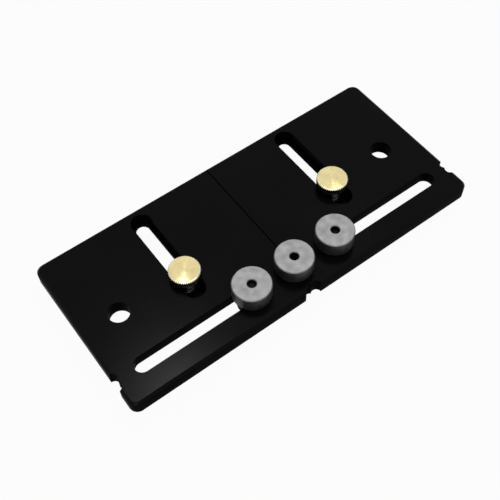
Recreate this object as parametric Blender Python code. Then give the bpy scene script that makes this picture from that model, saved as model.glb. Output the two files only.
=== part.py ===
"""Cabinet hardware jig: a slotted plate with three drill bushings and an adjustable edge fence.

The plate lies on a door or drawer front. The fence bar under it stops against the edge of the
work, and is clamped through the two stepped cross slots by knurled thumb knobs. The middle
bushing is fixed on the centre line. The side bushings slide in the two long slots, each
clamped by turning its head down on a flanged foot that runs in a recess under the slot.

World frame: +X along the plate, +Y from the bushings towards the back edge, +Z up, with the
origin under the middle of the plate, at the level of the fence's lower face.
"""
import math

import bmesh
import bpy

MM = 0.001

# Clearances
SEAT_GAP = 0.3 * MM          # between two pieces that bear on each other
FIT_GAP = 0.3 * MM           # all round a piece that is held in a hole
SLOT_CLEARANCE = 0.25 * MM   # each side of a bushing foot's sleeve in its long slot
OVERCUT = 2.0 * MM           # how far a cutter runs past the face that it opens

# Plate
PLATE_LENGTH = 228.6 * MM
PLATE_DEPTH = 101.6 * MM
PLATE_THICKNESS = 9.5 * MM
PLATE_CORNER_RADIUS = 5.0 * MM
PLATE_TOP_CHAMFER = 1.4 * MM
PLATE_BOTTOM_CHAMFER = 0.5 * MM
ROW_FROM_FRONT = 17.6 * MM        # bushing row to the plate's front edge
LONG_SLOT_END_MARGIN = 12.2 * MM  # long slot's outer end to the plate's end
HAND_HOLE_DIAMETER = 12.2 * MM
HAND_HOLE_FROM_END = 23.0 * MM
HAND_HOLE_FROM_FRONT = 50.3 * MM
CENTRE_LINE_WIDTH = 0.8 * MM
CENTRE_LINE_DEPTH = 0.4 * MM

# Sight notches, each two overlapping bores that leave a pointer between them
NOTCH_BORE_DIAMETER = 6.0 * MM
NOTCH_BORE_SPACING = 4.4 * MM
NOTCH_BORE_INSET = 0.3 * MM       # bore centres inside the plate's edge

# Drill bushings
BUSHING_DIAMETER = 22.0 * MM
BUSHING_HEAD_HEIGHT = 9.2 * MM
BUSHING_EDGE_CHAMFER = 0.5 * MM
DRILL_BORE_DIAMETER = 5.0 * MM
DRILL_BORE_CHAMFER = 0.45 * MM
SPIGOT_DIAMETER = 14.0 * MM       # of the fixed middle bushing
BUSHING_SET_OUT = 6.0 * MM        # side bushing at rest, out from where the heads would meet

# Bushing feet
SLEEVE_DIAMETER = 9.0 * MM
SLEEVE_ENGAGEMENT = 5.5 * MM      # how far the sleeve screws up into the head
FOOT_WIDTH = 13.4 * MM
FOOT_FLAT_LENGTH = 4.0 * MM       # straight part of the foot's guided sides
FOOT_THICKNESS = 1.3 * MM
FOOT_SUNK = 0.2 * MM              # foot's lower face above the plate's lower face

# Clamp slots, knobs and fence
CLAMP_SPACING = 102.0 * MM        # between the two cross slots
CLAMP_SLOT_BACK_MARGIN = 4.1 * MM
CLAMP_SLOT_FROM_ROW = 14.7 * MM   # bushing row to the slot's front end
CLAMP_LEDGE_THICKNESS = 2.5 * MM
STUD_DIAMETER = 6.0 * MM
STUD_SIDE_PLAY = 1.0 * MM
WASHER_DIAMETER = 11.4 * MM
WASHER_THICKNESS = 1.0 * MM
WASHER_SIDE_PLAY = 0.4 * MM
FENCE_SET_BACK = 8.9 * MM         # fence at rest, back from the slots' front stops
KNOB_DIAMETER = 18.0 * MM
KNOB_HEAD_THICKNESS = 5.2 * MM
KNOB_LIFT = 2.2 * MM              # head's lower face above the plate
KNOB_EDGE_CHAMFER = 0.7 * MM
KNOB_COLLAR_DIAMETER = 10.6 * MM
KNOB_CROWN = 2.2 * MM             # metal above the stud's bore
KNURL_TEETH = 48
KNURL_DEPTH = 0.35 * MM
FENCE_LENGTH = 152.4 * MM
FENCE_DEPTH = 16.0 * MM
FENCE_HEIGHT = 12.7 * MM
FENCE_CHAMFER = 0.8 * MM
INSERT_WALL = 1.2 * MM
INSERT_LENGTH = 9.5 * MM
STUD_SHORT = 0.5 * MM             # stud's end above the insert's lower end

# Facets round a full turn
FINE_TURN = 64
SLOT_TURN = 48
SMALL_TURN = 32

# Levels
PLATE_BOTTOM = FENCE_HEIGHT + SEAT_GAP
PLATE_TOP = PLATE_BOTTOM + PLATE_THICKNESS
BUSHING_BOTTOM = PLATE_TOP + SEAT_GAP
BUSHING_TOP = BUSHING_BOTTOM + BUSHING_HEAD_HEIGHT
RECESS_DEPTH = FOOT_SUNK + FOOT_THICKNESS + SEAT_GAP
LEDGE_LEVEL = PLATE_BOTTOM + CLAMP_LEDGE_THICKNESS

# Places in plan
ROW_Y = -PLATE_DEPTH / 2 + ROW_FROM_FRONT
SLOT_WIDTH = SLEEVE_DIAMETER + 2 * SLOT_CLEARANCE
RECESS_WIDTH = FOOT_WIDTH + 2 * FIT_GAP
INNER_STOP_X = BUSHING_DIAMETER + SEAT_GAP
OUTER_STOP_X = PLATE_LENGTH / 2 - LONG_SLOT_END_MARGIN - SLOT_WIDTH / 2
SIDE_BUSHING_X = INNER_STOP_X + BUSHING_SET_OUT
LEDGE_SLOT_WIDTH = STUD_DIAMETER + 2 * STUD_SIDE_PLAY
CLAMP_SLOT_WIDTH = WASHER_DIAMETER + 2 * WASHER_SIDE_PLAY
CLAMP_X = CLAMP_SPACING / 2
CLAMP_FRONT_Y = ROW_Y + CLAMP_SLOT_FROM_ROW + CLAMP_SLOT_WIDTH / 2
CLAMP_BACK_Y = PLATE_DEPTH / 2 - CLAMP_SLOT_BACK_MARGIN - CLAMP_SLOT_WIDTH / 2
FENCE_Y = CLAMP_FRONT_Y + FENCE_SET_BACK
SIDES = (("left", -1), ("right", 1))


def clear_scene():
    """Start from an empty file."""
    for thing in list(bpy.data.objects):
        bpy.data.objects.remove(thing, do_unlink=True)


def make_material(name, colour, metallic, roughness):
    """One plain finish."""
    material = bpy.data.materials.new(name)
    material.use_nodes = True
    shader = material.node_tree.nodes["Principled BSDF"]
    shader.inputs["Base Color"].default_value = (*colour, 1.0)
    shader.inputs["Metallic"].default_value = metallic
    shader.inputs["Roughness"].default_value = roughness
    return material


def add_object(name, bm, material=None, location=(0, 0, 0), parent=None, smooth_angle=None):
    """Turn a bmesh into a named object with its faces pointing out."""
    bmesh.ops.recalc_face_normals(bm, faces=bm.faces)
    mesh = bpy.data.meshes.new(name)
    bm.to_mesh(mesh)
    bm.free()
    if smooth_angle:
        mesh.shade_smooth()
        mesh.set_sharp_from_angle(angle=math.radians(smooth_angle))
    thing = bpy.data.objects.new(name, mesh)
    bpy.context.scene.collection.objects.link(thing)
    if material:
        mesh.materials.append(material)
    thing.location = location
    thing.parent = parent
    return thing


def circle_ring(radius, z, turn, centre=(0, 0)):
    """Points round a circle whose flats lie on the axes, at the radius."""
    reach = radius / math.cos(math.pi / turn)
    angles = [(i + 0.5) * 2 * math.pi / turn for i in range(turn)]
    return [(centre[0] + reach * math.cos(a), centre[1] + reach * math.sin(a), z) for a in angles]


def long_round_ring(radius, half_x, half_y, z, turn, centre=(0, 0)):
    """Points of a circle whose halves are drawn apart along X or Y, as a slot's outline is."""
    ring = []
    for x, y, level in circle_ring(radius, z, turn):
        apart_x = centre[0] + x + math.copysign(half_x, x)
        apart_y = centre[1] + y + math.copysign(half_y, y)
        ring.append((apart_x, apart_y, level))
    return ring


def toothed_ring(radius, depth, z, teeth):
    """Points of a straight knurl: crests and roots by turns."""
    ring = []
    for i in range(2 * teeth):
        reach = radius - depth * (i % 2)
        angle = i * math.pi / teeth
        ring.append((reach * math.cos(angle), reach * math.sin(angle), z))
    return ring


def loft(rings, closed):
    """Join rings of equal count by quads. Closed joins the last to the first, or else both are capped."""
    bm = bmesh.new()
    rows = [[bm.verts.new(point) for point in ring] for ring in rings]
    spans = len(rows) if closed else len(rows) - 1
    for k in range(spans):
        low = rows[k]
        high = rows[(k + 1) % len(rows)]
        for i in range(len(low)):
            j = (i + 1) % len(low)
            bm.faces.new((low[i], low[j], high[j], high[i]))
    if not closed:
        bm.faces.new(rows[0])
        bm.faces.new(rows[-1])
    return bm


def turned(profile, turn, closed):
    """A piece turned from a profile of (radius, level) pairs."""
    return loft([circle_ring(radius, z, turn) for radius, z in profile], closed)


def add_cutter(name, bm, target):
    """A hidden solid that is cut out of the target."""
    cutter = add_object("cut_" + name, bm)
    cutter.hide_render = True
    cutter.display_type = "WIRE"
    cut = target.modifiers.new(name, "BOOLEAN")
    cut.operation = "DIFFERENCE"
    cut.solver = "EXACT"
    cut.object = cutter


def rounded_plate_ring(inset, z):
    """The plate's outline, moved in by an inset at its chamfers."""
    radius = PLATE_CORNER_RADIUS - inset
    half_x = PLATE_LENGTH / 2 - PLATE_CORNER_RADIUS
    half_y = PLATE_DEPTH / 2 - PLATE_CORNER_RADIUS
    return long_round_ring(radius, half_x, half_y, z, SLOT_TURN)


def slot_prism(width, low_centre, high_centre, bottom, top):
    """A straight slot with round ends, between the centres of its ends."""
    middle = [(a + b) / 2 for a, b in zip(low_centre, high_centre)]
    half = [(b - a) / 2 for a, b in zip(low_centre, high_centre)]
    rings = [long_round_ring(width / 2, half[0], half[1], z, SLOT_TURN, middle) for z in (bottom, top)]
    return loft(rings, closed=False)


def bore_prism(diameter, centre, bottom, top, turn=SLOT_TURN):
    """A straight round hole."""
    rings = [circle_ring(diameter / 2, z, turn, centre) for z in (bottom, top)]
    return loft(rings, closed=False)


def cut_long_slots(plate, through):
    """The side bushings' slots, and the recess under each that their feet run in."""
    for side, sign in SIDES:
        low, high = sorted((sign * INNER_STOP_X, sign * OUTER_STOP_X))
        slot = slot_prism(SLOT_WIDTH, (low, ROW_Y), (high, ROW_Y), *through)
        add_cutter("long_slot_" + side, slot, plate)
        low -= FOOT_FLAT_LENGTH / 2
        high += FOOT_FLAT_LENGTH / 2
        recess_top = PLATE_BOTTOM + RECESS_DEPTH
        recess = slot_prism(RECESS_WIDTH, (low, ROW_Y), (high, ROW_Y), through[0], recess_top)
        add_cutter("foot_recess_" + side, recess, plate)


def cut_clamp_slots(plate, through):
    """The stepped cross slots: wide above for washer and collar, narrow below for the stud."""
    for side, sign in SIDES:
        front = (sign * CLAMP_X, CLAMP_FRONT_Y)
        back = (sign * CLAMP_X, CLAMP_BACK_Y)
        wide = slot_prism(CLAMP_SLOT_WIDTH, front, back, LEDGE_LEVEL, through[1])
        add_cutter("clamp_slot_" + side, wide, plate)
        add_cutter("stud_slot_" + side, slot_prism(LEDGE_SLOT_WIDTH, front, back, *through), plate)


def cut_notches(plate, through):
    """The three sight notches, in line with the bushings and with the centre line."""
    half = NOTCH_BORE_SPACING / 2
    end_x = PLATE_LENGTH / 2 - NOTCH_BORE_INSET
    front_y = -PLATE_DEPTH / 2 + NOTCH_BORE_INSET
    for step in (-1, 1):
        centres = {
            "left": (-end_x, ROW_Y + step * half),
            "right": (end_x, ROW_Y + step * half),
            "front": (step * half, front_y),
        }
        for place, centre in centres.items():
            name = "notch_%s_%s" % (place, "a" if step < 0 else "b")
            add_cutter(name, bore_prism(NOTCH_BORE_DIAMETER, centre, *through, SMALL_TURN), plate)


def cut_centre_line(plate):
    """The engraved line: a V groove from under the middle bushing's head to the back edge."""
    start = ROW_Y + BUSHING_DIAMETER / 2 - OVERCUT
    finish = PLATE_DEPTH / 2 + OVERCUT
    slope = CENTRE_LINE_WIDTH / 2 / CENTRE_LINE_DEPTH
    section = [
        (0.0, PLATE_TOP - CENTRE_LINE_DEPTH),
        (slope * (CENTRE_LINE_DEPTH + OVERCUT), PLATE_TOP + OVERCUT),
        (-slope * (CENTRE_LINE_DEPTH + OVERCUT), PLATE_TOP + OVERCUT),
    ]
    rings = [[(x, y, z) for x, z in section] for y in (start, finish)]
    add_cutter("centre_line", loft(rings, closed=False), plate)


def make_plate(material):
    """The plate: a chamfered rounded slab with all its slots, holes and notches."""
    rings = [
        rounded_plate_ring(PLATE_BOTTOM_CHAMFER, PLATE_BOTTOM),
        rounded_plate_ring(0, PLATE_BOTTOM + PLATE_BOTTOM_CHAMFER),
        rounded_plate_ring(0, PLATE_TOP - PLATE_TOP_CHAMFER),
        rounded_plate_ring(PLATE_TOP_CHAMFER, PLATE_TOP),
    ]
    plate = add_object("jig_plate", loft(rings, closed=False), material)
    through = (PLATE_BOTTOM - OVERCUT, PLATE_TOP + OVERCUT)
    cut_long_slots(plate, through)
    cut_clamp_slots(plate, through)
    for side, sign in SIDES:
        centre = (sign * (PLATE_LENGTH / 2 - HAND_HOLE_FROM_END), -PLATE_DEPTH / 2 + HAND_HOLE_FROM_FRONT)
        add_cutter("hand_hole_" + side, bore_prism(HAND_HOLE_DIAMETER, centre, *through), plate)
    add_cutter("spigot_hole", bore_prism(SPIGOT_DIAMETER + 2 * FIT_GAP, (0, ROW_Y), *through), plate)
    cut_notches(plate, through)
    cut_centre_line(plate)
    return plate


def bushing_top(top):
    """Profile of a bushing's upper end, from its side in to its bore."""
    return [
        (BUSHING_DIAMETER / 2, top - BUSHING_EDGE_CHAMFER),
        (BUSHING_DIAMETER / 2 - BUSHING_EDGE_CHAMFER, top),
        (DRILL_BORE_DIAMETER / 2 + DRILL_BORE_CHAMFER, top),
        (DRILL_BORE_DIAMETER / 2, top - DRILL_BORE_CHAMFER),
    ]


def make_centre_bushing(plate, material):
    """The fixed bushing: a head, and a spigot pressed through the plate."""
    bottom = PLATE_BOTTOM + SEAT_GAP
    profile = [
        (DRILL_BORE_DIAMETER / 2, bottom),
        (SPIGOT_DIAMETER / 2, bottom),
        (SPIGOT_DIAMETER / 2, BUSHING_BOTTOM),
        (BUSHING_DIAMETER / 2, BUSHING_BOTTOM),
    ]
    body = turned(profile + bushing_top(BUSHING_TOP), FINE_TURN, closed=True)
    add_object("drill_bushing_centre", body, material, (0, ROW_Y, 0), plate, 30)


def make_side_bushing(side, sign, plate, material):
    """A sliding bushing: its head above the plate, and its flanged foot and sleeve from below."""
    sleeve_top = PLATE_TOP + SLEEVE_ENGAGEMENT
    flange_bottom = PLATE_BOTTOM + FOOT_SUNK
    flange_top = flange_bottom + FOOT_THICKNESS
    flat = FOOT_FLAT_LENGTH / 2
    bore = DRILL_BORE_DIAMETER / 2
    rings = [
        circle_ring(bore, flange_bottom, FINE_TURN),
        long_round_ring(FOOT_WIDTH / 2, flat, 0, flange_bottom, FINE_TURN),
        long_round_ring(FOOT_WIDTH / 2, flat, 0, flange_top, FINE_TURN),
        circle_ring(SLEEVE_DIAMETER / 2, flange_top, FINE_TURN),
        circle_ring(SLEEVE_DIAMETER / 2, sleeve_top, FINE_TURN),
        circle_ring(bore, sleeve_top, FINE_TURN),
    ]
    place = (sign * SIDE_BUSHING_X, ROW_Y, 0)
    foot = add_object("bushing_foot_" + side, loft(rings, closed=True), material, place, plate, 30)
    socket = SLEEVE_DIAMETER / 2 + FIT_GAP
    profile = [
        (bore, sleeve_top + SEAT_GAP),
        (socket, sleeve_top + SEAT_GAP),
        (socket, BUSHING_BOTTOM),
        (BUSHING_DIAMETER / 2, BUSHING_BOTTOM),
    ]
    head = turned(profile + bushing_top(BUSHING_TOP), FINE_TURN, closed=True)
    add_object("drill_bushing_" + side, head, material, (0, 0, 0), foot, 30)


def make_fence(material):
    """The fence bar: a chamfered bar with a blind hole for each threaded insert."""
    bm = bmesh.new()
    bmesh.ops.create_cube(bm, size=1.0)
    bmesh.ops.scale(bm, vec=(FENCE_LENGTH, FENCE_DEPTH, FENCE_HEIGHT), verts=bm.verts)
    bmesh.ops.translate(bm, vec=(0, 0, FENCE_HEIGHT / 2), verts=bm.verts)
    bmesh.ops.bevel(bm, geom=bm.edges[:], offset=FENCE_CHAMFER, segments=1, affect="EDGES")
    fence = add_object("fence_bar", bm, material, (0, FENCE_Y, 0))
    hole = STUD_DIAMETER + 2 * (FIT_GAP + INSERT_WALL + FIT_GAP)
    floor = FENCE_HEIGHT - INSERT_LENGTH - 2 * SEAT_GAP
    for side, sign in SIDES:
        bore = bore_prism(hole, (sign * CLAMP_X, FENCE_Y), floor, FENCE_HEIGHT + OVERCUT, SMALL_TURN)
        add_cutter("insert_hole_" + side, bore, fence)
    return fence


def make_clamp(side, sign, fence, brass, steel):
    """One clamp: threaded insert in the fence, washer on the ledge, and knurled knob on its stud."""
    place = (sign * CLAMP_X, 0, 0)
    stud = STUD_DIAMETER / 2
    bore = stud + FIT_GAP
    insert_top = FENCE_HEIGHT - SEAT_GAP
    insert_bottom = insert_top - INSERT_LENGTH
    insert = [
        (bore, insert_bottom),
        (bore + INSERT_WALL, insert_bottom),
        (bore + INSERT_WALL, insert_top),
        (bore, insert_top),
    ]
    add_object("fence_insert_" + side, turned(insert, SMALL_TURN, closed=True), steel, place, fence, 30)

    washer_bottom = LEDGE_LEVEL + SEAT_GAP
    washer_top = washer_bottom + WASHER_THICKNESS
    washer = [
        (bore, washer_bottom),
        (WASHER_DIAMETER / 2, washer_bottom),
        (WASHER_DIAMETER / 2, washer_top),
        (bore, washer_top),
    ]
    add_object("knob_washer_" + side, turned(washer, SLOT_TURN, closed=True), steel, place, fence, 30)

    head_bottom = PLATE_TOP + KNOB_LIFT
    head_top = head_bottom + KNOB_HEAD_THICKNESS
    bore_top = head_top - KNOB_CROWN
    rim = KNOB_DIAMETER / 2
    turn = 2 * KNURL_TEETH
    rings = [
        circle_ring(bore, bore_top, turn),
        circle_ring(bore, washer_top + SEAT_GAP, turn),
        circle_ring(KNOB_COLLAR_DIAMETER / 2, washer_top + SEAT_GAP, turn),
        circle_ring(KNOB_COLLAR_DIAMETER / 2, head_bottom, turn),
        toothed_ring(rim - KNOB_EDGE_CHAMFER, 0, head_bottom, KNURL_TEETH),
        toothed_ring(rim, KNURL_DEPTH, head_bottom + KNOB_EDGE_CHAMFER, KNURL_TEETH),
        toothed_ring(rim, KNURL_DEPTH, head_top - KNOB_EDGE_CHAMFER, KNURL_TEETH),
        toothed_ring(rim - KNOB_EDGE_CHAMFER, 0, head_top, KNURL_TEETH),
    ]
    knob = add_object("thumb_knob_" + side, loft(rings, closed=False), brass, place, fence, 20)

    stud_bottom = insert_bottom + STUD_SHORT
    rod = turned([(stud, stud_bottom), (stud, bore_top - SEAT_GAP)], SMALL_TURN, closed=False)
    add_object("knob_stud_" + side, rod, steel, (0, 0, 0), knob, 30)


def build():
    """Make every piece in place."""
    clear_scene()
    anodised = make_material("black_anodised_aluminium", (0.012, 0.012, 0.013), 0.6, 0.45)
    bright_steel = make_material("ground_steel", (0.55, 0.55, 0.55), 1.0, 0.3)
    plain_steel = make_material("plated_steel", (0.5, 0.5, 0.48), 1.0, 0.35)
    brass = make_material("turned_brass", (0.86, 0.74, 0.45), 1.0, 0.25)
    plate = make_plate(anodised)
    make_centre_bushing(plate, bright_steel)
    for side, sign in SIDES:
        make_side_bushing(side, sign, plate, bright_steel)
    fence = make_fence(anodised)
    for side, sign in SIDES:
        make_clamp(side, sign, fence, brass, plain_steel)


build()
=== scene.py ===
import math

import bpy
import numpy as np
from mathutils import Matrix, Vector
from mathutils.geometry import delaunay_2d_cdt


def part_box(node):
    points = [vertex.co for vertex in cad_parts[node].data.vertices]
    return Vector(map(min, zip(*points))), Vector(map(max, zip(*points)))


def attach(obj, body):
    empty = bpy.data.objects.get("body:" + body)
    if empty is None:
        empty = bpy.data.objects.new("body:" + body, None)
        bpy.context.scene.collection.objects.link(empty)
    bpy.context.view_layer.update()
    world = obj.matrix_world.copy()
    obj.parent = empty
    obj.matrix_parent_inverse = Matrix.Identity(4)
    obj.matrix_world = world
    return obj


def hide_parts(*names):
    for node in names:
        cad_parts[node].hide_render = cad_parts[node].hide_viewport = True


# Cabinet hardware jig: the finished surface of each piece, and the light and camera. The pieces
# come in the order in which the jig is put together: the plate, the bushings in its row, the
# fence bar below it, and the clamps that hold the fence. Lengths are in metres.

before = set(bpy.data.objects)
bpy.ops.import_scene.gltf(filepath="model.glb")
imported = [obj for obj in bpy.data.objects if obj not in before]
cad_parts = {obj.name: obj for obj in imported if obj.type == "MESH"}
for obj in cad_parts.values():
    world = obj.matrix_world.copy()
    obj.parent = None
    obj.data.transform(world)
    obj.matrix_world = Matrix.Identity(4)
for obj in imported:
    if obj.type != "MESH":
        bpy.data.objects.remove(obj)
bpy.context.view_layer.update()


# The jig plate
# One slab of aluminium with its slots and holes milled through, its sight notches drilled in the
# edges and its centre line engraved. It is bead blasted, then dyed black in the anodising bath.

MM = 0.001
CORNER_RADIUS = 5.0 * MM
TOP_CHAMFER = 1.4 * MM
BOTTOM_CHAMFER = 0.5 * MM
CHAMFER_SOFTNESS = 0.35 * MM
EDGE_BREAK = 0.15 * MM
OUTLINE_STEPS = 96

LONG_SLOT_RADIUS = 4.75 * MM
LONG_SLOT_END_MARGIN = 12.2 * MM
LONG_SLOT_INNER_X = 22.3 * MM
RECESS_RADIUS = 7.0 * MM
RECESS_DEPTH = 1.8 * MM
RECESS_STRETCH = 2.0 * MM
CLAMP_SLOT_RADIUS = 6.1 * MM
CLAMP_SLOT_BACK_MARGIN = 4.1 * MM
CLAMP_SLOT_FROM_ROW = 14.7 * MM
CLAMP_LEDGE_RADIUS = 4.0 * MM
CLAMP_LEDGE_THICKNESS = 2.5 * MM
HAND_HOLE_RADIUS = 6.1 * MM
HAND_HOLE_FROM_END = 23.0 * MM
HAND_HOLE_FROM_FRONT = 50.3 * MM
SPIGOT_HOLE_RADIUS = 7.3 * MM

NOTCH_BORE_RADIUS = 3.0 * MM
NOTCH_BORE_SPACING = 4.4 * MM
NOTCH_BORE_INSET = 0.3 * MM
LINE_WIDTH = 0.8 * MM
LINE_DEPTH = 0.4 * MM
CUT_BEYOND = 1.0 * MM
LEVEL_TILT = 0.9999
WALL_TILT = 0.3
MILLED_SHARP_ANGLE = math.radians(32)
CORNER_STEPS = 5
CIRCLE_STEPS = 64
HULL_TRIANGLES = 0
MERGE_WITHIN = 1e-6

ANODISED_BLACK = (0.0020, 0.0020, 0.0022, 1.0)
ANODISED_GREY = (0.0034, 0.0034, 0.0037, 1.0)
BLASTED_ROUGHNESS = (0.18, 0.21)
BLASTED_SPECULAR = 0.05
MILLED_ROUGHNESS = (0.30, 0.36)
MILLED_SPECULAR = 0.002
BLAST_GRAIN = 0.30 * MM
BLAST_DEPTH = 0.010 * MM
DYE_CLOUD = 32 * MM
DYE_GLOSS_CLOUD = 12.8 * MM
NOISE_LOW = 0.3
NOISE_HIGH = 0.7
NOISE_ROUGHNESS = 0.55
CLOUD_DETAIL = 3.0
GRAIN_DETAIL = 2.0


def rounded_profile(corners, closed=True):
    """Points (radius, height) along a profile of corners (radius, height, rounding). Each corner
    becomes a parabola that leaves one side and meets the next, as far from the corner as an arc
    of that rounding would, and at most half a side away. The ends of an open profile stay sharp."""
    spots = np.array([corner[:2] for corner in corners], float)
    rounding = np.array([corner[2] for corner in corners], float)
    before = np.roll(spots, 1, axis=0) - spots
    after = np.roll(spots, -1, axis=0) - spots
    before_length = np.linalg.norm(before, axis=1, keepdims=True)
    after_length = np.linalg.norm(after, axis=1, keepdims=True)
    before /= before_length
    after /= after_length
    opening = np.arccos(np.clip((before * after).sum(1), -1, 1))
    longest = 0.5 * np.minimum(before_length, after_length)[:, 0]
    reach = np.minimum(rounding / np.tan(opening / 2), longest)[:, None]
    share = np.linspace(0, 1, CORNER_STEPS + 1)[None, :, None]
    leaving = (spots + before * reach)[:, None]
    meeting = (spots + after * reach)[:, None]
    curve = (1 - share) ** 2 * leaving + 2 * share * (1 - share) * spots[:, None] + share ** 2 * meeting
    if closed:
        return curve.reshape(-1, 2)
    return np.vstack([spots[:1], curve[1:-1].reshape(-1, 2), spots[-1:]])


def ring_grid(rows, centre, steps, half=(0, 0), stretch=0):
    """A grid of points: each row is a circle whose halves are drawn apart along X and Y, by half
    and, along X, by the row's stretch too. The rows hold (radius, height), either one pair for
    the whole row or one for each step round it. The circle's flats lie on the axes."""
    rows = np.asarray(rows, float)
    if rows.ndim == 2:
        rows = np.repeat(rows[:, None], steps, axis=1)
    angle = (np.arange(steps) + 0.5) * 2 * np.pi / steps
    apart_x = half[0] + np.broadcast_to(stretch, len(rows))[:, None]
    reach = rows[..., 0] / math.cos(math.pi / steps)
    x = centre[0] + reach * np.cos(angle) + np.sign(np.cos(angle)) * apart_x
    y = centre[1] + reach * np.sin(angle) + np.sign(np.sin(angle)) * half[1]
    return np.stack([x, y, rows[..., 1]], axis=-1)


def wall_quads(index):
    """Quads between the rows of an index grid, whose last column meets its first."""
    index = np.hstack([index, index[:, :1]])
    quads = np.stack([index[:-1, :-1], index[:-1, 1:], index[1:, 1:], index[1:, :-1]], axis=-1)
    return quads.reshape(-1, 4)


def inside_loop(spots, loop):
    """True for each spot that a ray along +X from it crosses the loop an odd number of times."""
    start = loop[None]
    finish = np.roll(loop, -1, axis=0)[None]
    x, y = spots[:, None, 0], spots[:, None, 1]
    straddles = (start[..., 1] > y) != (finish[..., 1] > y)
    rise = np.where(finish[..., 1] == start[..., 1], 1, finish[..., 1] - start[..., 1])
    crossing = start[..., 0] + (y - start[..., 1]) * (finish[..., 0] - start[..., 0]) / rise
    return (straddles & (x < crossing)).sum(1) % 2 == 1


def flat_between(points, outline, openings, upward):
    """Triangles of a level face, between the outline and its openings, all given as loops of
    point numbers: a constrained Delaunay triangulation in millimetres, less the triangles
    outside the outline or inside an opening."""
    loops = [outline] + openings
    numbers = np.concatenate(loops)
    spots = points[numbers, :2] / MM
    starts = np.cumsum([0] + [len(loop) for loop in loops])
    sides = [
        (int(first + i), int(first + (i + 1) % (last - first)))
        for first, last in zip(starts[:-1], starts[1:]) for i in range(last - first)
    ]
    corners = [tuple(spot) for spot in spots]
    found = delaunay_2d_cdt(corners, sides, [], HULL_TRIANGLES, MERGE_WITHIN)
    triangles = np.array(found[2])
    source = np.array([origins[0] for origins in found[3]])
    triangles = source[triangles]
    middle = spots[triangles].mean(1)
    keep = inside_loop(middle, points[outline, :2] / MM)
    for opening in openings:
        keep &= ~inside_loop(middle, points[opening, :2] / MM)
    triangles = triangles[keep]
    first, second, third = (spots[triangles[:, i]] for i in range(3))
    one, two = second - first, third - first
    rising = one[:, 0] * two[:, 1] - one[:, 1] * two[:, 0] > 0
    wrong = rising != upward
    triangles[wrong] = triangles[wrong][:, ::-1]
    return numbers[triangles]


def add_object(name, mesh):
    """The mesh as an object of the scene, at the origin."""
    thing = bpy.data.objects.new(name, mesh)
    bpy.context.scene.collection.objects.link(thing)
    return thing


def straight_wall(radius):
    """The wall of a plain hole, with a broken edge at the plate's top and bottom."""
    return rounded_profile([
        (radius + EDGE_BREAK, plate_high.z, 0),
        (radius, plate_high.z - EDGE_BREAK, EDGE_BREAK),
        (radius, plate_low.z + EDGE_BREAK, EDGE_BREAK),
        (radius + EDGE_BREAK, plate_low.z, 0),
    ], closed=False)


def plate_openings():
    """The wall of each opening, from the plate's top face down: a grid of points for each."""
    top, bottom = plate_high.z, plate_low.z
    grids = []
    for side in (-1, 1):
        outer_x = plate_high.x - LONG_SLOT_END_MARGIN - LONG_SLOT_RADIUS
        half = ((outer_x - LONG_SLOT_INNER_X) / 2, 0)
        ceiling = bottom + RECESS_DEPTH
        rows = rounded_profile([
            (LONG_SLOT_RADIUS + EDGE_BREAK, top, 0),
            (LONG_SLOT_RADIUS, top - EDGE_BREAK, EDGE_BREAK),
            (LONG_SLOT_RADIUS, ceiling, EDGE_BREAK),
            (RECESS_RADIUS, ceiling, EDGE_BREAK),
            (RECESS_RADIUS, bottom + EDGE_BREAK, EDGE_BREAK),
            (RECESS_RADIUS + EDGE_BREAK, bottom, 0),
        ], closed=False)
        stretch = np.interp(rows[:, 0], (LONG_SLOT_RADIUS + EDGE_BREAK, RECESS_RADIUS), (0, RECESS_STRETCH))
        centre = (side * (outer_x + LONG_SLOT_INNER_X) / 2, row_y)
        grids.append(ring_grid(rows, centre, OUTLINE_STEPS, half, stretch))

        clamp_x = middle_of("knob_washer_right")[0] * side
        front_y = row_y + CLAMP_SLOT_FROM_ROW + CLAMP_SLOT_RADIUS
        back_y = plate_high.y - CLAMP_SLOT_BACK_MARGIN - CLAMP_SLOT_RADIUS
        ledge = bottom + CLAMP_LEDGE_THICKNESS
        rows = rounded_profile([
            (CLAMP_SLOT_RADIUS + EDGE_BREAK, top, 0),
            (CLAMP_SLOT_RADIUS, top - EDGE_BREAK, EDGE_BREAK),
            (CLAMP_SLOT_RADIUS, ledge, EDGE_BREAK),
            (CLAMP_LEDGE_RADIUS, ledge, EDGE_BREAK),
            (CLAMP_LEDGE_RADIUS, bottom + EDGE_BREAK, EDGE_BREAK),
            (CLAMP_LEDGE_RADIUS + EDGE_BREAK, bottom, 0),
        ], closed=False)
        half = (0, (back_y - front_y) / 2)
        grids.append(ring_grid(rows, (clamp_x, (front_y + back_y) / 2), OUTLINE_STEPS, half))

        hole_x = side * (plate_high.x - HAND_HOLE_FROM_END)
        hole_y = plate_low.y + HAND_HOLE_FROM_FRONT
        grids.append(ring_grid(straight_wall(HAND_HOLE_RADIUS), (hole_x, hole_y), OUTLINE_STEPS))
    grids.append(ring_grid(straight_wall(SPIGOT_HOLE_RADIUS), (0, row_y), OUTLINE_STEPS))
    return grids


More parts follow.
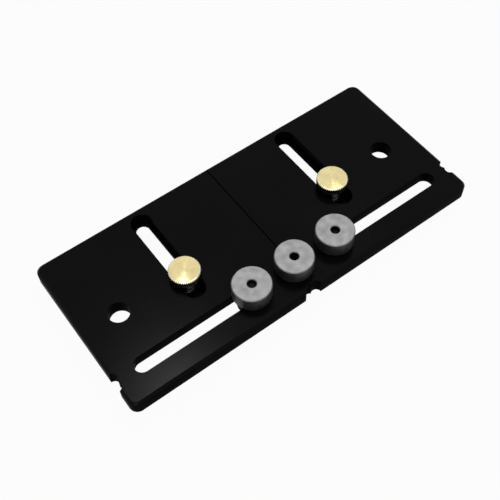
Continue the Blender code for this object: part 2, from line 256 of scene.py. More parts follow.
def plate_body():
    """The slab with its openings: the walls as grids, joined by the two level faces."""
    top, bottom = plate_high.z, plate_low.z
    side = rounded_profile([
        (CORNER_RADIUS - BOTTOM_CHAMFER - CHAMFER_SOFTNESS, bottom, 0),
        (CORNER_RADIUS - BOTTOM_CHAMFER, bottom, CHAMFER_SOFTNESS),
        (CORNER_RADIUS, bottom + BOTTOM_CHAMFER, CHAMFER_SOFTNESS),
        (CORNER_RADIUS, top - TOP_CHAMFER, CHAMFER_SOFTNESS),
        (CORNER_RADIUS - TOP_CHAMFER, top, CHAMFER_SOFTNESS),
        (CORNER_RADIUS - TOP_CHAMFER - CHAMFER_SOFTNESS, top, 0),
    ], closed=False)
    half = (plate_high.x - CORNER_RADIUS, plate_high.y - CORNER_RADIUS)
    outside = ring_grid(side, (0, 0), OUTLINE_STEPS, half)
    grids = [outside] + plate_openings()
    counts = [grid.shape[0] * grid.shape[1] for grid in grids]
    starts = np.cumsum([0] + counts[:-1])
    index = [
        start + np.arange(count).reshape(grid.shape[:2])
        for start, count, grid in zip(starts, counts, grids)
    ]
    points = np.concatenate([grid.reshape(-1, 3) for grid in grids])
    walls = np.concatenate([wall_quads(numbers) for numbers in index])
    upper = flat_between(points, index[0][-1], [numbers[0] for numbers in index[1:]], upward=True)
    lower = flat_between(points, index[0][0], [numbers[-1] for numbers in index[1:]], upward=False)
    mesh = bpy.data.meshes.new("plate_body")
    mesh.from_pydata(points, [], walls.tolist() + upper.tolist() + lower.tolist())
    return add_object("plate_body", mesh)


def capped_prism(name, outline, low, high, along):
    """A solid cutter: the outline, carried from low to high along an axis, capped by two faces."""
    count = len(outline)
    ends = np.array([np.insert(outline, along, level, axis=1) for level in (low, high)])
    index = np.arange(2 * count).reshape(2, count)
    caps = [index[0, ::-1].tolist(), index[1].tolist()]
    mesh = bpy.data.meshes.new(name)
    mesh.from_pydata(ends.reshape(-1, 3), [], wall_quads(index).tolist() + caps)
    return add_object(name, mesh)


def circle_outline(radius):
    """Points evenly spaced round a circle about the origin."""
    angle = np.arange(CIRCLE_STEPS) * 2 * np.pi / CIRCLE_STEPS
    return radius * np.stack([np.cos(angle), np.sin(angle)], axis=1)


def edge_cutters():
    """The drill that makes the sight notches, in pairs of bores, and the engraving point."""
    circle = circle_outline(NOTCH_BORE_RADIUS)
    end_x = plate_high.x - NOTCH_BORE_INSET
    front_y = plate_low.y + NOTCH_BORE_INSET
    half = NOTCH_BORE_SPACING / 2
    centres = [(end * end_x, row_y + step * half) for end in (-1, 1) for step in (-1, 1)]
    centres += [(step * half, front_y) for step in (-1, 1)]
    low, high = plate_low.z - CUT_BEYOND, plate_high.z + CUT_BEYOND
    cutters = [capped_prism("notch_bore", circle + centre, low, high, along=2) for centre in centres]
    spread = LINE_WIDTH / 2 / LINE_DEPTH * (LINE_DEPTH + CUT_BEYOND)
    groove = np.array([(0, plate_high.z - LINE_DEPTH), (-spread, high), (spread, high)])
    line_start, line_end = row_y + head_radius - CUT_BEYOND, plate_high.y + CUT_BEYOND
    cutters.append(capped_prism("line_cutter", groove, line_start, line_end, along=1))
    return cutters


def cut_away(body, cutters):
    """The body less the cutters, which are used up."""
    for cutter in cutters:
        cut = body.modifiers.new(cutter.name, "BOOLEAN")
        cut.operation = "DIFFERENCE"
        cut.solver = "EXACT"
        cut.object = cutter
    seen = body.evaluated_get(bpy.context.evaluated_depsgraph_get())
    mesh = bpy.data.meshes.new_from_object(seen)
    body.modifiers.clear()
    body.data = mesh
    for cutter in cutters:
        bpy.data.objects.remove(cutter)
    return body


def finish_faces(body, open_finish, cut_finish):
    """Level faces, whose normal is along Z, are shaded flat and the others smooth. The top, the
    bottom and their chamfers get the open finish. The walls, ledges and engraved line get the
    cut one."""
    mesh = body.data
    normals = np.zeros(3 * len(mesh.polygons), np.float32)
    centres = np.zeros(3 * len(mesh.polygons), np.float32)
    mesh.polygons.foreach_get("normal", normals)
    mesh.polygons.foreach_get("center", centres)
    centres = centres.reshape(-1, 3)
    tilt = np.abs(normals.reshape(-1, 3)[:, 2])
    level = tilt > LEVEL_TILT
    depth = np.minimum(centres[:, 2].max() - centres[:, 2], centres[:, 2] - centres[:, 2].min())
    in_line = (np.abs(centres[:, 0]) < LINE_WIDTH / 2) & ~level
    cut = (tilt < WALL_TILT) | (depth > TOP_CHAMFER) | in_line
    mesh.set_sharp_from_angle(angle=MILLED_SHARP_ANGLE)
    mesh.polygons.foreach_set("use_smooth", ~level)
    mesh.materials.clear()
    mesh.materials.append(open_finish)
    mesh.materials.append(cut_finish)
    mesh.polygons.foreach_set("material_index", cut.astype(np.int32))


def add_node(tree, kind, **values):
    """A node of that kind, with the named inputs set."""
    node = tree.nodes.new(kind)
    for name, value in values.items():
        node.inputs[name.replace("_", " ")].default_value = value
    return node


def new_finish(name):
    """A new material, its node tree and its Principled shader."""
    material = bpy.data.materials.new(name)
    material.use_nodes = True
    tree = material.node_tree
    return material, tree, tree.nodes["Principled BSDF"]


def noise_from(tree, place, size, detail=CLOUD_DETAIL):
    """Noise whose blotches are about that size."""
    noise = add_node(tree, "ShaderNodeTexNoise", Scale=1 / size, Detail=detail)
    noise.inputs["Roughness"].default_value = NOISE_ROUGHNESS
    tree.links.new(place, noise.inputs["Vector"])
    return noise.outputs["Fac"]


def spread_between(tree, value, low, high):
    """The middle range of a noise, drawn out between low and high."""
    spread = add_node(tree, "ShaderNodeMapRange", From_Min=NOISE_LOW, From_Max=NOISE_HIGH)
    spread.inputs["To Min"].default_value = low
    spread.inputs["To Max"].default_value = high
    tree.links.new(value, spread.inputs["Value"])
    return spread.outputs["Result"]


def colour_between(tree, value, low_colour, high_colour):
    """A colour that goes from one to the other as the value goes from 0 to 1."""
    ramp = tree.nodes.new("ShaderNodeValToRGB")
    ramp.color_ramp.elements[0].color = low_colour
    ramp.color_ramp.elements[1].color = high_colour
    tree.links.new(value, ramp.inputs["Fac"])
    return ramp.outputs["Color"]


def add_bump(tree, shader, height, depth):
    """A bump of that depth, laid over one that the shader already has."""
    bump = add_node(tree, "ShaderNodeBump", Distance=depth)
    tree.links.new(height, bump.inputs["Height"])
    if shader.inputs["Normal"].links:
        tree.links.new(shader.inputs["Normal"].links[0].from_socket, bump.inputs["Normal"])
    tree.links.new(bump.outputs["Normal"], shader.inputs["Normal"])


def anodised_finish(name, roughness, specular):
    """Black dye in aluminium: a fine grain, and faint clouds in the dye and the gloss."""
    material, tree, shader = new_finish(name)
    place = tree.nodes.new("ShaderNodeTexCoord").outputs["Object"]
    clouds = spread_between(tree, noise_from(tree, place, DYE_CLOUD), 0, 1)
    colour = colour_between(tree, clouds, ANODISED_BLACK, ANODISED_GREY)
    tree.links.new(colour, shader.inputs["Base Color"])
    gloss = spread_between(tree, noise_from(tree, place, DYE_GLOSS_CLOUD), *roughness)
    tree.links.new(gloss, shader.inputs["Roughness"])
    shader.inputs["Specular IOR Level"].default_value = specular
    add_bump(tree, shader, noise_from(tree, place, BLAST_GRAIN, GRAIN_DETAIL), BLAST_DEPTH)
    return material


def middle_of(node):
    """The middle of a node's box, in plan."""
    low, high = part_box(node)
    return (low.x + high.x) / 2, (low.y + high.y) / 2


def stand_for(piece, node, body):
    """The piece is shown in the node's place and rides on its body."""
    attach(piece, body)
    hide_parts(node)


plate_low, plate_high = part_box("jig_plate")
head_low, head_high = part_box("drill_bushing_centre")
head_radius = (head_high.x - head_low.x) / 2
row_y = middle_of("drill_bushing_centre")[1]

blasted_black = anodised_finish("blasted_black", BLASTED_ROUGHNESS, BLASTED_SPECULAR)
milled_black = anodised_finish("milled_black", MILLED_ROUGHNESS, MILLED_SPECULAR)
milled_plate = cut_away(plate_body(), edge_cutters())
milled_plate.name = "milled_plate"
finish_faces(milled_plate, blasted_black, milled_black)
stand_for(milled_plate, "jig_plate", "plate")


# The drill bushings
# Turned steel heads with a ground top and a drill bore, the bore's mouth chamfered. The middle one
# has a spigot pressed through the plate. The side ones are threaded from below for their feet.

TURNED_STEPS = 144
DRILL_RADIUS = 2.5 * MM
DRILL_MOUTH = 0.45 * MM
SPIGOT_RADIUS = 7.0 * MM
HEAD_HEIGHT = 9.2 * MM
HEAD_CHAMFER = 0.5 * MM
SOCKET_RADIUS = 4.8 * MM
SLEEVE_PITCH = 0.75 * MM
SLEEVE_THREAD_DEPTH = 0.35 * MM
SHARP_EDGE = 0.10 * MM
SEAT_GAP = 0.3 * MM
ROWS_PER_PITCH = 12
TURNED_SHARP_ANGLE = math.radians(40)

GROUND_STEEL = ((0.245, 0.237, 0.242, 1.0), (0.39, 0.387, 0.382, 1.0))
# Painted shade: the turned sides are far darker than the ground top, as they mirror the black plate.
SHADED_TURNED_STEEL = ((0.047, 0.047, 0.047, 1.0), (0.077, 0.076, 0.076, 1.0))
# Painted shade: the bore is painted near black and dull, as the deep hole lies in shade.
BORE_SHADE_STEEL = ((0.006, 0.006, 0.006, 1.0), (0.012, 0.012, 0.012, 1.0))
BEVELLED_STEEL = ((0.14, 0.14, 0.14, 1.0), (0.18, 0.18, 0.18, 1.0))
GROUND_ROUGHNESS = (0.58, 0.68)
TURNED_ROUGHNESS = (0.50, 0.60)
STEEL_CLOUD = 4 * MM
STEEL_CLOUD_DETAIL = 8.0
STEEL_GLOSS_CLOUD = 2 * MM
STEEL_GRAIN = 0.35 * MM
STEEL_GRAIN_DEPTH = 0.006 * MM
TURNING_PITCH = 0.16 * MM
TURNING_DEPTH = 0.0012 * MM
RING_WAVER = 0.6
RING_DETAIL = 1.0
WAVE_RADIANS = 20


def grid_object(name, grid, closed):
    """A mesh over a grid of rings. Closed joins the last ring to the first. If it isn't, each end
    ring is capped by a fan round its middle. The UV map turning has turns along U, and metres
    along the profile in V."""
    rows, steps = grid.shape[:2]
    index = np.arange(rows * steps).reshape(rows, steps)
    travel = np.linalg.norm(np.diff(grid, axis=0), axis=2).mean(1)
    length = np.concatenate([[0], np.cumsum(travel)])
    points = grid.reshape(-1, 3)
    if closed:
        index = np.vstack([index, index[:1]])
        length = np.append(length, length[-1] + np.linalg.norm(grid[-1] - grid[0], axis=1).mean())
    u, v = np.meshgrid(np.arange(steps + 1) / steps, length)
    corner = np.stack([u, v], axis=-1)
    wall_uv = np.stack([corner[:-1, :-1], corner[:-1, 1:], corner[1:, 1:], corner[1:, :-1]], axis=2)
    faces = wall_quads(index).tolist()
    uv = [wall_uv.reshape(-1, 2)]
    if not closed:
        low_pole, high_pole = len(points), len(points) + 1
        points = np.vstack([points, grid[0].mean(0), grid[-1].mean(0)])
        after = np.roll(np.arange(steps), -1)
        low_fan = np.stack([np.full(steps, low_pole), index[0][after], index[0]], axis=1)
        high_fan = np.stack([np.full(steps, high_pole), index[-1], index[-1][after]], axis=1)
        faces += low_fan.tolist() + high_fan.tolist()
        low_reach = np.linalg.norm(grid[0, 0] - grid[0].mean(0))
        high_reach = np.linalg.norm(grid[-1, 0] - grid[-1].mean(0))
        turn = np.arange(steps) / steps
        pole_turn = turn + 0.5 / steps
        low_v, high_v = np.full(steps, length[0]), np.full(steps, length[-1])
        low_uv = [(pole_turn, low_v - low_reach), (turn + 1 / steps, low_v), (turn, low_v)]
        high_uv = [(pole_turn, high_v + high_reach), (turn, high_v), (turn + 1 / steps, high_v)]
        for fan in (low_uv, high_uv):
            uv.append(np.stack([np.stack(pair, axis=1) for pair in fan], axis=1).reshape(-1, 2))
    mesh = bpy.data.meshes.new(name)
    mesh.from_pydata(points, [], faces)
    mesh.uv_layers.new(name="turning").data.foreach_set("uv", np.concatenate(uv).reshape(-1))
    mesh.shade_smooth()
    mesh.set_sharp_from_angle(angle=TURNED_SHARP_ANGLE)
    return add_object(name, mesh)


def give_finishes(thing, rows, steps, zone, finishes):
    """Each band of faces between two rings gets the finish that its zone number stands for. The
    zone is worked out from the band's mean radius and height, and a cap's from its end ring."""
    rings = np.asarray(rows, float)
    rings = rings.mean(1) if rings.ndim == 3 else rings
    mesh = thing.data
    bands = (rings + np.roll(rings, -1, axis=0)) / 2
    if len(mesh.polygons) > steps * len(rings):
        bands = np.vstack([bands[:-1], rings[:1], rings[-1:]])
    numbers = np.repeat(zone(bands[:, 0], bands[:, 1]), steps)
    for finish in finishes:
        mesh.materials.append(finish)
    mesh.polygons.foreach_set("material_index", numbers.astype(np.int32))


def full_rows(profile, steps):
    """The profile's (radius, height) pairs, repeated for every step round."""
    return np.repeat(np.asarray(profile, float)[:, None], steps, axis=1)


def thread_rows(radius, start, finish, pitch, depth, steps):
    """Rows of a threaded wall from one height to another. The radius falls by a triangle wave of
    height over pitch less turns, times depth, which fades out over a pitch at both ends."""
    count = int(abs(finish - start) / pitch * ROWS_PER_PITCH) + 2
    height = np.linspace(start, finish, count)[:, None]
    angle = (np.arange(steps) + 0.5) / steps
    wave = np.abs(2 * ((height / pitch - angle) % 1) - 1)
    fade = np.clip(np.minimum(abs(height - start), abs(height - finish)) / pitch, 0, 1)
    reach = radius - depth * wave * fade
    return np.stack([reach, np.broadcast_to(height, reach.shape)], axis=-1)


def turning_marks(tree, coordinates, pitch):
    """The lathe tool's rings: a sine wave along the profile, a little uneven. At a scale of 1 the
    texture's wave turns through 20 radians for each unit of length."""
    rings = add_node(tree, "ShaderNodeTexWave", Distortion=RING_WAVER, Detail=RING_DETAIL)
    rings.inputs["Scale"].default_value = 2 * math.pi / WAVE_RADIANS / pitch
    rings.bands_direction = "Y"
    tree.links.new(coordinates.outputs["UV"], rings.inputs["Vector"])
    return rings.outputs["Fac"]


def steel_finish(name, colours, roughness, metallic=1.0, specular=0.5):
    """Machined steel: clouds in its tone and gloss, a fine grain and turning marks. A metallic
    value of 0 is for the bore, whose wall is painted dark and dull as the shade in the hole."""
    material, tree, shader = new_finish(name)
    coordinates = tree.nodes.new("ShaderNodeTexCoord")
    place = coordinates.outputs["Object"]
    clouds = spread_between(tree, noise_from(tree, place, STEEL_CLOUD, STEEL_CLOUD_DETAIL), 0, 1)
    tree.links.new(colour_between(tree, clouds, *colours), shader.inputs["Base Color"])
    gloss = spread_between(tree, noise_from(tree, place, STEEL_GLOSS_CLOUD), *roughness)
    tree.links.new(gloss, shader.inputs["Roughness"])
    shader.inputs["Metallic"].default_value = metallic
    shader.inputs["Specular IOR Level"].default_value = specular
    add_bump(tree, shader, turning_marks(tree, coordinates, TURNING_PITCH), TURNING_DEPTH)
    add_bump(tree, shader, noise_from(tree, place, STEEL_GRAIN, GRAIN_DETAIL), STEEL_GRAIN_DEPTH)
    return material


def head_zone(radius, height):
    """0 for the turned sides, 1 for the ground top, 2 for its chamfers and 3 for the bore. The
    sides and the bore are painted dark, as painted shade.
    """
    drop = head_high.z - height
    bore = radius < DRILL_RADIUS + SHARP_EDGE / 2
    return np.select([drop < SHARP_EDGE / 2, drop < HEAD_CHAMFER, bore], [1, 2, 3], 0)


shaded_turned_steel = steel_finish("shaded_turned_steel", SHADED_TURNED_STEEL, TURNED_ROUGHNESS)
head_steels = [
    shaded_turned_steel,
    steel_finish("ground_steel", GROUND_STEEL, GROUND_ROUGHNESS),
    steel_finish("bevelled_steel", BEVELLED_STEEL, TURNED_ROUGHNESS),
    steel_finish("bore_shade_steel", BORE_SHADE_STEEL, TURNED_ROUGHNESS, metallic=0.0, specular=MILLED_SPECULAR),
]
head_bottom = head_high.z - HEAD_HEIGHT
head_top_corners = [
    (head_radius, head_high.z - HEAD_CHAMFER, SHARP_EDGE),
    (head_radius - HEAD_CHAMFER, head_high.z, SHARP_EDGE),
    (DRILL_RADIUS + DRILL_MOUTH, head_high.z, SHARP_EDGE),
    (DRILL_RADIUS, head_high.z - DRILL_MOUTH, SHARP_EDGE),
]
centre_profile = rounded_profile([
    (DRILL_RADIUS, head_low.z, SHARP_EDGE),
    (SPIGOT_RADIUS, head_low.z, 2 * SHARP_EDGE),
    (SPIGOT_RADIUS, head_bottom, SHARP_EDGE),
    (head_radius, head_bottom, SHARP_EDGE),
    *head_top_corners,
])
centre_grid = ring_grid(centre_profile, middle_of("drill_bushing_centre"), TURNED_STEPS)
centre_bushing = grid_object("centre_bushing", centre_grid, closed=True)
give_finishes(centre_bushing, centre_profile, TURNED_STEPS, head_zone, head_steels)
stand_for(centre_bushing, "drill_bushing_centre", "plate")

sleeve_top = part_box("bushing_foot_left")[1].z
socket_top = sleeve_top + SEAT_GAP
for side in ("left", "right"):
    outside = rounded_profile([
        (SOCKET_RADIUS, head_bottom, 0),
        (head_radius, head_bottom, SHARP_EDGE),
        *head_top_corners,
        (DRILL_RADIUS, socket_top, SHARP_EDGE),
        (SOCKET_RADIUS, socket_top, 0),
    ], closed=False)
    thread = (SLEEVE_PITCH, -SLEEVE_THREAD_DEPTH, TURNED_STEPS)
    socket = thread_rows(SOCKET_RADIUS, socket_top, head_bottom, *thread)
    rows = np.concatenate([full_rows(outside, TURNED_STEPS), socket[1:-1]])
    grid = ring_grid(rows, middle_of("drill_bushing_" + side), TURNED_STEPS)
    head = grid_object("bushing_head_" + side, grid, closed=True)
    give_finishes(head, rows, TURNED_STEPS, head_zone, head_steels)
    stand_for(head, "drill_bushing_" + side, "head_" + side)


# The bushing feet
# Hollow steel screws with a flat-sided flange, put in from below. The flange runs in the recess
# under the long slot and can't turn there, and the threaded sleeve goes up into the head.

FOOT_RADIUS = 6.7 * MM
FOOT_STRETCH = 2.0 * MM
FOOT_THICKNESS = 1.3 * MM
SLEEVE_RADIUS = 4.5 * MM

for side in ("left", "right"):
    foot_low, foot_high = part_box("bushing_foot_" + side)
    shoulder = foot_low.z + FOOT_THICKNESS
    flange = rounded_profile([
        (DRILL_RADIUS, foot_low.z, 0),
        (FOOT_RADIUS, foot_low.z, SHARP_EDGE),
        (FOOT_RADIUS, shoulder, SHARP_EDGE),
        (SLEEVE_RADIUS, shoulder, 0),
    ], closed=False)
    thread = (SLEEVE_PITCH, SLEEVE_THREAD_DEPTH, TURNED_STEPS)
    sleeve = thread_rows(SLEEVE_RADIUS, shoulder, foot_high.z, *thread)
    bore = [(DRILL_RADIUS, foot_high.z)]
    rows = np.concatenate([full_rows(flange, TURNED_STEPS), sleeve[1:], full_rows(bore, TURNED_STEPS)])
    stretch = np.interp(rows[:, 0, 0], (SLEEVE_RADIUS, FOOT_RADIUS - SHARP_EDGE), (0, FOOT_STRETCH))
    grid = ring_grid(rows, middle_of("bushing_foot_" + side), TURNED_STEPS, stretch=stretch)
    foot = grid_object("slide_foot_" + side, grid, closed=True)
    # The feet share the sides' darkened steel, which is painted shade.
    foot.data.materials.append(shaded_turned_steel)
    stand_for(foot, "bushing_foot_" + side, "foot_" + side)


# The fence bar
# A square-edged aluminium bar under the plate, chamfered all round and anodised like the plate,
# with a blind hole for each threaded insert.

FENCE_CHAMFER = 0.8 * MM
FENCE_SOFTNESS = 0.2 * MM
INSERT_RADIUS = 4.5 * MM
INSERT_HOLE_GAP = 0.3 * MM
INSERT_LENGTH = 9.5 * MM


def fence_body(low, high):
    """The bar along X, with its chamfers: rings of a rectangle whose corners are cut, with two
    points at each corner. The rings shrink by the chamfer at the bottom and the top."""
    side = rounded_profile([
        (0, low.z, 0),
        (FENCE_CHAMFER, low.z + FENCE_CHAMFER, FENCE_SOFTNESS),
        (FENCE_CHAMFER, high.z - FENCE_CHAMFER, FENCE_SOFTNESS),
        (0, high.z, 0),
    ], closed=False)
    half_x = (high.x - low.x) / 2 - FENCE_CHAMFER
    half_y = (high.y - low.y) / 2 - FENCE_CHAMFER
    corner_x = np.array([1, 1, -1, -1, -1, -1, 1, 1])
    corner_y = np.array([1, 1, 1, 1, -1, -1, -1, -1])
    along = np.array([1, 0, 0, -1, -1, 0, 0, 1])
    across = np.array([0, 1, 1, 0, 0, -1, -1, 0])
    reach = side[:, :1]
    x = (low.x + high.x) / 2 + half_x * corner_x + reach * along
    y = (low.y + high.y) / 2 + half_y * corner_y + reach * across
    height = np.broadcast_to(side[:, 1:], x.shape)
    return grid_object("fence", np.stack([x, y, height], axis=-1), closed=False)


fence_low, fence_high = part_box("fence_bar")
fence = fence_body(fence_low, fence_high)
hole_outline = circle_outline(INSERT_RADIUS + INSERT_HOLE_GAP)
insert_top = fence_high.z - SEAT_GAP
hole_floor = insert_top - INSERT_LENGTH - SEAT_GAP
hole_mouth = fence_high.z + CUT_BEYOND
insert_cutters = [
    capped_prism("insert_cutter", hole_outline + middle_of(node), hole_floor, hole_mouth, along=2)
    for node in ("fence_insert_left", "fence_insert_right")
]
fence = cut_away(fence, insert_cutters)
fence.name = "fence_stop"
finish_faces(fence, blasted_black, milled_black)
stand_for(fence, "fence_bar", "fence")


# The threaded inserts
# Steel bushes with a coarse outer thread that bites in the fence bar, and a fine inner thread for
# the clamp's stud. Zinc plated.

INSERT_BORE = 3.3 * MM
OUTER_PITCH = 1.5 * MM
OUTER_DEPTH = 0.5 * MM
STUD_PITCH = 1.0 * MM
STUD_THREAD_DEPTH = 0.45 * MM
SMALL_STEPS = 96
BRIGHT_PLATE = ((0.42, 0.42, 0.41, 1.0), (0.56, 0.56, 0.55, 1.0))
PLATED_ROUGHNESS = (0.26, 0.38)
PLATED_CLOUD = 3 * MM
PLATED_GLOSS_CLOUD = 0.9 * MM


def plated_finish(name, colours):
    """Zinc on steel: cloudy tone, satin gloss and the marks of the turning below."""
    material, tree, shader = new_finish(name)
    coordinates = tree.nodes.new("ShaderNodeTexCoord")
    place = coordinates.outputs["Object"]
    clouds = spread_between(tree, noise_from(tree, place, PLATED_CLOUD), 0, 1)
    tree.links.new(colour_between(tree, clouds, *colours), shader.inputs["Base Color"])
    gloss = spread_between(tree, noise_from(tree, place, PLATED_GLOSS_CLOUD), *PLATED_ROUGHNESS)
    tree.links.new(gloss, shader.inputs["Roughness"])
    shader.inputs["Metallic"].default_value = 1.0
    add_bump(tree, shader, turning_marks(tree, coordinates, TURNING_PITCH), TURNING_DEPTH)
    return material


plated = plated_finish("bright_plate", BRIGHT_PLATE)
for side in ("left", "right"):
    low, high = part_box("fence_insert_" + side)
    outer = thread_rows(INSERT_RADIUS, low.z, high.z, OUTER_PITCH, OUTER_DEPTH, SMALL_STEPS)
    inner = thread_rows(INSERT_BORE, high.z, low.z, STUD_PITCH, -STUD_THREAD_DEPTH, SMALL_STEPS)
    grid = ring_grid(np.concatenate([outer, inner]), middle_of("fence_insert_" + side), SMALL_STEPS)
    insert = grid_object("threaded_insert_" + side, grid, closed=True)
    insert.data.materials.append(plated)
    stand_for(insert, "fence_insert_" + side, "fence")


# The washers
# Flat steel washers that lie on the ledges of the cross slots, under the collars of the knobs.
# They are punched, so the upper edges are a little rounder than the lower ones. Their plating
# is painted dark, as painted shade under the knobs.

PUNCHED_ROUNDING = 0.3 * MM
# Painted shade: the washers' plating is dark, as they lie in the shade under the knobs.
SHADED_PLATE = ((0.035, 0.035, 0.034, 1.0), (0.06, 0.06, 0.058, 1.0))

shaded_plated = plated_finish("shaded_plate", SHADED_PLATE)
for side in ("left", "right"):
    low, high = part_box("knob_washer_" + side)
    profile = rounded_profile([
        (INSERT_BORE, low.z, SHARP_EDGE),
        ((high.x - low.x) / 2, low.z, SHARP_EDGE),
        ((high.x - low.x) / 2, high.z, PUNCHED_ROUNDING),
        (INSERT_BORE, high.z, PUNCHED_ROUNDING),
    ])
    grid = ring_grid(profile, middle_of("knob_washer_" + side), SMALL_STEPS)
    washer = grid_object("clamp_washer_" + side, grid, closed=True)
    washer.data.materials.append(shaded_plated)
    stand_for(washer, "knob_washer_" + side, "fence")


# The thumb knobs
# Turned from brass bar: a thin head with a straight knurl round it and a chamfered rim, and a
# collar that goes down into the slot. The tool's rings on the flat top make it shine in spokes.

KNOB_HEAD_THICKNESS = 5.2 * MM
KNOB_CHAMFER = 0.7 * MM
RIM_ROUNDING = 0.4 * MM
RIM_DROP = 0.02 * MM
COLLAR_RADIUS = 5.3 * MM
KNOB_CROWN = 2.2 * MM
KNURL_TEETH = 48
KNURL_DEPTH = 0.35 * MM
STEPS_PER_TOOTH = 8
FACED_BRASS = ((0.72, 0.59, 0.28, 1.0), (0.82, 0.71, 0.39, 1.0))
# Painted highlight: the chamfer's brass is near white, for the bright rim.
BEVEL_HIGHLIGHT_BRASS = ((0.90, 0.84, 0.60, 1.0), (0.96, 0.92, 0.72, 1.0))
# Painted shade: the knurled band is near black, as it mirrors the black plate.
SHADED_KNURL_BRASS = ((0.040, 0.032, 0.017, 1.0), (0.065, 0.054, 0.030, 1.0))
# Painted shade: the collar and underside are near black, in the shade under the head.
SHADED_COLLAR_BRASS = ((0.012, 0.010, 0.005, 1.0), (0.02, 0.016, 0.009, 1.0))
FACED_ROUGHNESS = (0.13, 0.15)
CUT_BRASS_ROUGHNESS = (0.30, 0.38)
BRASS_CLOUD = 4 * MM
BRASS_GLOSS_CLOUD = 2 * MM
FACING_PITCH = 0.22 * MM
FACING_DEPTH = 0.0012 * MM
FACING_STREAK = 0.6
ACROSS_THE_RINGS = 0.25
FACING_PIP = 0.5 * MM


def knurled_rows(profile, outer_radius, steps):
    """The profile's rows, with the radius cut down between the teeth, to the outer radius less
    the knurl's depth times a raised cosine of the turns times the number of teeth."""
    angle = (np.arange(steps) + 0.5) * 2 * np.pi / steps
    valley = 0.5 - 0.5 * np.cos(KNURL_TEETH * angle)
    rows = full_rows(profile, steps)
    rows[..., 0] = np.minimum(rows[..., 0], outer_radius - KNURL_DEPTH * valley)
    return rows


def brass_finish(name, colours, roughness):
    """Turned brass: the tool's rings, a gloss drawn out across them, and a faint change of tone."""
    material, tree, shader = new_finish(name)
    coordinates = tree.nodes.new("ShaderNodeTexCoord")
    place = coordinates.outputs["Object"]
    clouds = spread_between(tree, noise_from(tree, place, BRASS_CLOUD), 0, 1)
    tree.links.new(colour_between(tree, clouds, *colours), shader.inputs["Base Color"])
    gloss = spread_between(tree, noise_from(tree, place, BRASS_GLOSS_CLOUD), *roughness)
    tree.links.new(gloss, shader.inputs["Roughness"])
    shader.inputs["Metallic"].default_value = 1.0
    shader.inputs["Anisotropic"].default_value = FACING_STREAK
    shader.inputs["Anisotropic Rotation"].default_value = ACROSS_THE_RINGS
    along = tree.nodes.new("ShaderNodeTangent")
    along.direction_type = "UV_MAP"
    along.uv_map = "turning"
    tree.links.new(along.outputs["Tangent"], shader.inputs["Tangent"])
    add_bump(tree, shader, turning_marks(tree, coordinates, FACING_PITCH), FACING_DEPTH)
    return material


def knob_zone(radius, height):
    """0 for the faced top, 1 for the chamfer round it, 2 for the knurled band and 3 for the
    collar and the underside. The chamfer's colour is a painted highlight, and the band's and the
    collar's are painted shade."""
    drop = knob_high.z - height
    bevel = (drop < KNOB_CHAMFER) & (radius < rim - KNURL_DEPTH / 2)
    band = radius > rim - KNOB_CHAMFER
    return np.select([drop < RIM_DROP, bevel, band], [0, 1, 2], 3)


brasses = [
    brass_finish("faced_brass", FACED_BRASS, FACED_ROUGHNESS),
    brass_finish("bevel_highlight_brass", BEVEL_HIGHLIGHT_BRASS, CUT_BRASS_ROUGHNESS),
    brass_finish("shaded_knurl_brass", SHADED_KNURL_BRASS, CUT_BRASS_ROUGHNESS),
    brass_finish("shaded_collar_brass", SHADED_COLLAR_BRASS, CUT_BRASS_ROUGHNESS),
]
knob_steps = KNURL_TEETH * STEPS_PER_TOOTH
for side in ("left", "right"):
    knob_low, knob_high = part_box("thumb_knob_" + side)
    rim = (knob_high.x - knob_low.x) / 2
    underside = knob_high.z - KNOB_HEAD_THICKNESS
    profile = rounded_profile([
        (INSERT_BORE, knob_high.z - KNOB_CROWN, 0),
        (INSERT_BORE, knob_low.z, SHARP_EDGE),
        (COLLAR_RADIUS, knob_low.z, 2 * SHARP_EDGE),
        (COLLAR_RADIUS, underside, SHARP_EDGE),
        (rim - KNOB_CHAMFER, underside, SHARP_EDGE),
        (rim, underside + KNOB_CHAMFER, SHARP_EDGE),
        (rim, knob_high.z - KNOB_CHAMFER, SHARP_EDGE),
        (rim - KNOB_CHAMFER, knob_high.z, RIM_ROUNDING),
        (FACING_PIP, knob_high.z, 0),
    ], closed=False)
    rows = knurled_rows(profile, rim, knob_steps)
    grid = ring_grid(rows, middle_of("thumb_knob_" + side), knob_steps)
    knob = grid_object("knurled_knob_" + side, grid, closed=False)
    give_finishes(knob, rows, knob_steps, knob_zone, brasses)
    stand_for(knob, "thumb_knob_" + side, "knob_" + side)


# The studs
# Lengths of 6 mm threaded steel rod, fixed in the knobs and screwed down into the inserts. Their
# ends are chamfered, and they are plated like the inserts.

STUD_CHAMFER = 0.6 * MM

for side in ("left", "right"):
    low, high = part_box("knob_stud_" + side)
    radius = (high.x - low.x) / 2
    start = [(radius - STUD_CHAMFER, low.z), (radius, low.z + STUD_CHAMFER)]
    finish = [(radius, high.z - STUD_CHAMFER), (radius - STUD_CHAMFER, high.z)]
    shank = thread_rows(radius, start[1][1], finish[0][1], STUD_PITCH, STUD_THREAD_DEPTH, SMALL_STEPS)
    rows = np.concatenate([full_rows(start[:1], SMALL_STEPS), shank, full_rows(finish[1:], SMALL_STEPS)])
    grid = ring_grid(rows, middle_of("knob_stud_" + side), SMALL_STEPS)
    stud = grid_object("threaded_stud_" + side, grid, closed=False)
    stud.data.materials.append(plated)
    stand_for(stud, "knob_stud_" + side, "knob_" + side)


# The stage
# A floor of matt pale paper, just below the jig. It shows white to the camera and in the metal,
# and still takes the jig's shadow.

FLOOR_SIZE = 6.0
FLOOR_DROP = 0.1 * MM
FLOOR_GREY = 0.8
PAPER_ROUGHNESS = 0.9
WHITE_SHARE = 0.96


def larger_of(tree, first, second):
    """The larger of two values."""
    choice = tree.nodes.new("ShaderNodeMath")
    choice.operation = "MAXIMUM"
    tree.links.new(first, choice.inputs[0])
    tree.links.new(second, choice.inputs[1])
    return choice.outputs[0]


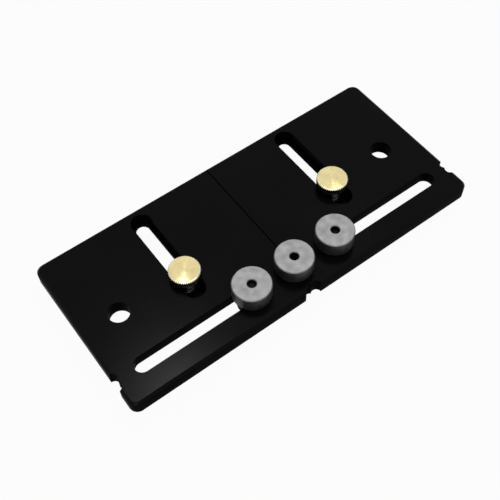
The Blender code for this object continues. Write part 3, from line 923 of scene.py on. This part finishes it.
def show_white(tree, plain, white, output):
    """The plain shader, mostly replaced by the white one where camera, gloss or glass rays meet
    the surface."""
    path = tree.nodes.new("ShaderNodeLightPath")
    seen = larger_of(tree, path.outputs["Is Camera Ray"], path.outputs["Is Glossy Ray"])
    seen = larger_of(tree, seen, path.outputs["Is Transmission Ray"])
    share = add_node(tree, "ShaderNodeMapRange", To_Max=WHITE_SHARE)
    tree.links.new(seen, share.inputs["Value"])
    mix = tree.nodes.new("ShaderNodeMixShader")
    tree.links.new(share.outputs["Result"], mix.inputs[0])
    tree.links.new(plain.outputs[0], mix.inputs[1])
    tree.links.new(white.outputs[0], mix.inputs[2])
    tree.links.new(mix.outputs[0], output.inputs["Surface"])


def stage_finish():
    """Matt pale paper."""
    material, tree, shader = new_finish("stage_paper")
    shader.inputs["Base Color"].default_value = (FLOOR_GREY, FLOOR_GREY, FLOOR_GREY, 1.0)
    shader.inputs["Roughness"].default_value = PAPER_ROUGHNESS
    glow = add_node(tree, "ShaderNodeEmission", Color=(1, 1, 1, 1), Strength=1.0)
    show_white(tree, shader, glow, tree.nodes["Material Output"])
    return material


floor_reach = FLOOR_SIZE / 2
floor_mesh = bpy.data.meshes.new("floor")
floor_corners = [
    (x * floor_reach, y * floor_reach, -FLOOR_DROP) for x, y in ((-1, -1), (1, -1), (1, 1), (-1, 1))
]
floor_mesh.from_pydata(floor_corners, [], [(0, 1, 2, 3)])
floor_mesh.materials.append(stage_finish())
floor = add_object("floor", floor_mesh)


# The light
# A white room, which shows in the metal and gives a little light, and soft boxes. The small ones
# draw the spokes on the knobs and the sheen on the plate's corner. Each soft box has its place and
# its size in metres, and its power in watts.

ROOM_GREY = 0.10
SOFT_BOXES = {
    "corner_sheen": ((0.097, 0.389, 1.119), 0.08, 1.1),
    "knob_spokes": ((0.498, 0.402, 0.949), 0.06, 0.03),
    "overhead": ((0.25, -0.15, 1.00), 0.30, 2.2),
    "front_left": ((-0.70, -0.70, 0.65), 0.80, 2.6),
}


def soft_box(name, place, size, power):
    """A square area lamp that faces the jig."""
    lamp = bpy.data.lights.new(name, "AREA")
    lamp.size = size
    lamp.energy = power
    thing = bpy.data.objects.new(name, lamp)
    bpy.context.scene.collection.objects.link(thing)
    thing.location = place
    thing.rotation_euler = Vector(place).to_track_quat("Z", "Y").to_euler()


room = bpy.data.worlds.new("room")
room.use_nodes = True
dim = room.node_tree.nodes["Background"]
dim.inputs["Color"].default_value = (ROOM_GREY, ROOM_GREY, ROOM_GREY, 1.0)
bright = add_node(room.node_tree, "ShaderNodeBackground", Color=(1, 1, 1, 1), Strength=1.0)
show_white(room.node_tree, dim, bright, room.node_tree.nodes["World Output"])
bpy.context.scene.world = room
for name, values in SOFT_BOXES.items():
    soft_box(name, *values)


# The camera
# It looks down on the plate from the front left, at the photograph's viewing angle, and aims at a
# point of the plate's top face. Its angles are in degrees and its lens in millimetres.

VIEW_AIM = (-13.03 * MM, -10.80 * MM)
VIEW_AZIMUTH = -35.16
VIEW_ELEVATION = 56.69
VIEW_ROLL = -1.68
VIEW_DISTANCE = 459.15 * MM
LENS = 60.16

azimuth, elevation, roll = (math.radians(value) for value in (VIEW_AZIMUTH, VIEW_ELEVATION, VIEW_ROLL))
flat_share = math.cos(elevation)
back = np.array([math.sin(azimuth) * flat_share, -math.cos(azimuth) * flat_share, math.sin(elevation)])
camera_data = bpy.data.cameras.new("camera")
camera_data.lens = LENS
camera = bpy.data.objects.new("camera", camera_data)
bpy.context.scene.collection.objects.link(camera)
camera.location = np.array([*VIEW_AIM, plate_high.z]) + VIEW_DISTANCE * back
upright = Matrix.Rotation(azimuth, 3, "Z") @ Matrix.Rotation(math.pi / 2 - elevation, 3, "X")
camera.rotation_euler = (upright @ Matrix.Rotation(roll, 3, "Z")).to_euler()
bpy.context.scene.camera = camera
bpy.context.scene.view_settings.view_transform = "Standard"
